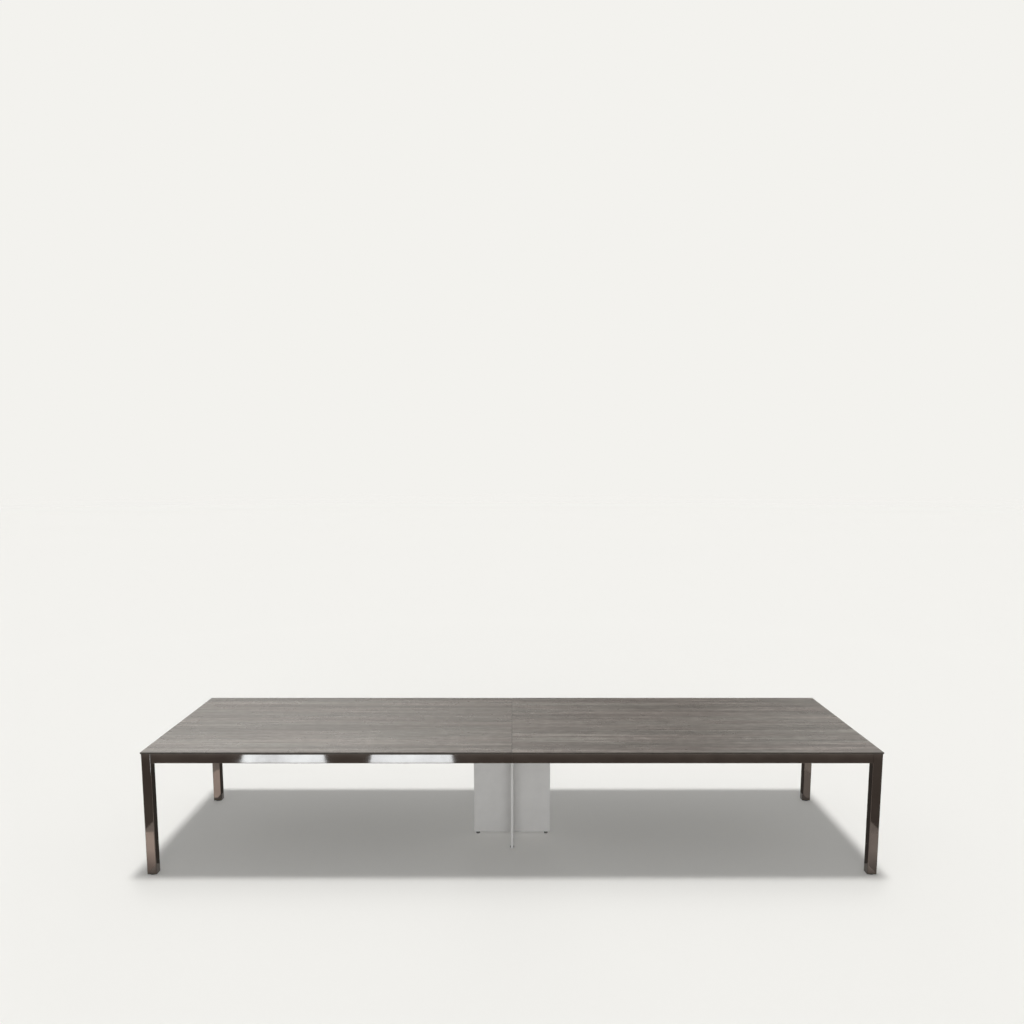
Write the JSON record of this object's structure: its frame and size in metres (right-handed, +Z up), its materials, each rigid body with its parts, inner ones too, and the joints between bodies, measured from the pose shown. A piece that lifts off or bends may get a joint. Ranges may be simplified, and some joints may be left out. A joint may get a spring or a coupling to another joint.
{
  "type": "conference table",
  "caption": "Long rectangular conference table: thin wood-grain top on a polished dark tube frame, square corner legs with levelling feet, and a crossed-panel support at the middle.",
  "frame": {"origin": "on the floor, under the middle of the table", "axes": "+X along the table to the right, +Y to the rear, +Z up"},
  "size_m": [4.2, 1.2, 0.73],
  "materials": {
    "top_laminate": "satin grey-brown wood grain with a dark edge",
    "dark_chrome": "polished dark bronze plating",
    "panel_board": "satin light grey coated board",
    "cast_alloy": "as cast, tumbled",
    "zinc_steel": "zinc plated",
    "black_plastic": "matt moulded"
  },
  "bodies": {
    "table": {"top_left": "top_laminate", "top_right": "top_laminate", "seam_tongue": "zinc_steel", "front_rail_left": "dark_chrome", "front_rail_right": "dark_chrome", "rear_rail_left": "dark_chrome", "rear_rail_right": "dark_chrome", "end_rail_left": "dark_chrome", "end_rail_right": "dark_chrome", "crossbar_left": "dark_chrome", "crossbar_centre": "dark_chrome", "crossbar_right": "dark_chrome", "splice_front": "cast_alloy", "splice_rear": "cast_alloy", "splice_bolt_front_left": "zinc_steel", "splice_bolt_front_right": "zinc_steel", "splice_bolt_rear_left": "zinc_steel", "splice_bolt_rear_right": "zinc_steel", "leg_front_left": "dark_chrome", "leg_front_right": "dark_chrome", "leg_rear_right": "dark_chrome", "leg_rear_left": "dark_chrome", "corner_joiner_front_left": "cast_alloy", "corner_joiner_front_right": "cast_alloy", "corner_joiner_rear_right": "cast_alloy", "corner_joiner_rear_left": "cast_alloy", "rail_bolt_front_left_1": "zinc_steel", "rail_bolt_front_left_2": "zinc_steel", "rail_bolt_front_right_1": "zinc_steel", "rail_bolt_front_right_2": "zinc_steel", "rail_bolt_rear_right_1": "zinc_steel", "rail_bolt_rear_right_2": "zinc_steel", "rail_bolt_rear_left_1": "zinc_steel", "rail_bolt_rear_left_2": "zinc_steel", "foot_socket_front_left": "black_plastic", "foot_socket_front_right": "black_plastic", "foot_socket_rear_right": "black_plastic", "foot_socket_rear_left": "black_plastic", "pedestal_panel_long": "panel_board", "pedestal_panel_cross": "panel_board", "pedestal_head_plate": "zinc_steel", "head_bolt_front": "zinc_steel", "head_bolt_rear": "zinc_steel", "pedestal_bracket_1": "zinc_steel", "pedestal_bracket_2": "zinc_steel", "pedestal_bracket_3": "zinc_steel", "pedestal_bracket_4": "zinc_steel", "glide_socket_left": "zinc_steel", "glide_socket_front": "zinc_steel", "glide_socket_right": "zinc_steel", "glide_socket_rear": "zinc_steel"},
    "foot_front_left": {"levelling_foot_front_left": "black_plastic"},
    "foot_front_right": {"levelling_foot_front_right": "black_plastic"},
    "foot_rear_right": {"levelling_foot_rear_right": "black_plastic"},
    "foot_rear_left": {"levelling_foot_rear_left": "black_plastic"},
    "panel_glide_left": {"glide_left": "black_plastic"},
    "panel_glide_front": {"glide_front": "black_plastic"},
    "panel_glide_right": {"glide_right": "black_plastic"},
    "panel_glide_rear": {"glide_rear": "black_plastic"}
  },
  "joints": [
    {"name": "foot_front_left_travel", "type": "slide", "parent": "table", "child": "foot_front_left", "axis": [0, 0, -1], "range_m": [0, 0.015]},
    {"name": "foot_front_right_travel", "type": "slide", "parent": "table", "child": "foot_front_right", "axis": [0, 0, -1], "range_m": [0, 0.015]},
    {"name": "foot_rear_right_travel", "type": "slide", "parent": "table", "child": "foot_rear_right", "axis": [0, 0, -1], "range_m": [0, 0.015]},
    {"name": "foot_rear_left_travel", "type": "slide", "parent": "table", "child": "foot_rear_left", "axis": [0, 0, -1], "range_m": [0, 0.015]},
    {"name": "glide_left_travel", "type": "slide", "parent": "table", "child": "panel_glide_left", "axis": [0, 0, -1], "range_m": [0, 0.012]},
    {"name": "glide_front_travel", "type": "slide", "parent": "table", "child": "panel_glide_front", "axis": [0, 0, -1], "range_m": [0, 0.012]},
    {"name": "glide_right_travel", "type": "slide", "parent": "table", "child": "panel_glide_right", "axis": [0, 0, -1], "range_m": [0, 0.012]},
    {"name": "glide_rear_travel", "type": "slide", "parent": "table", "child": "panel_glide_rear", "axis": [0, 0, -1], "range_m": [0, 0.012]}
  ]
}
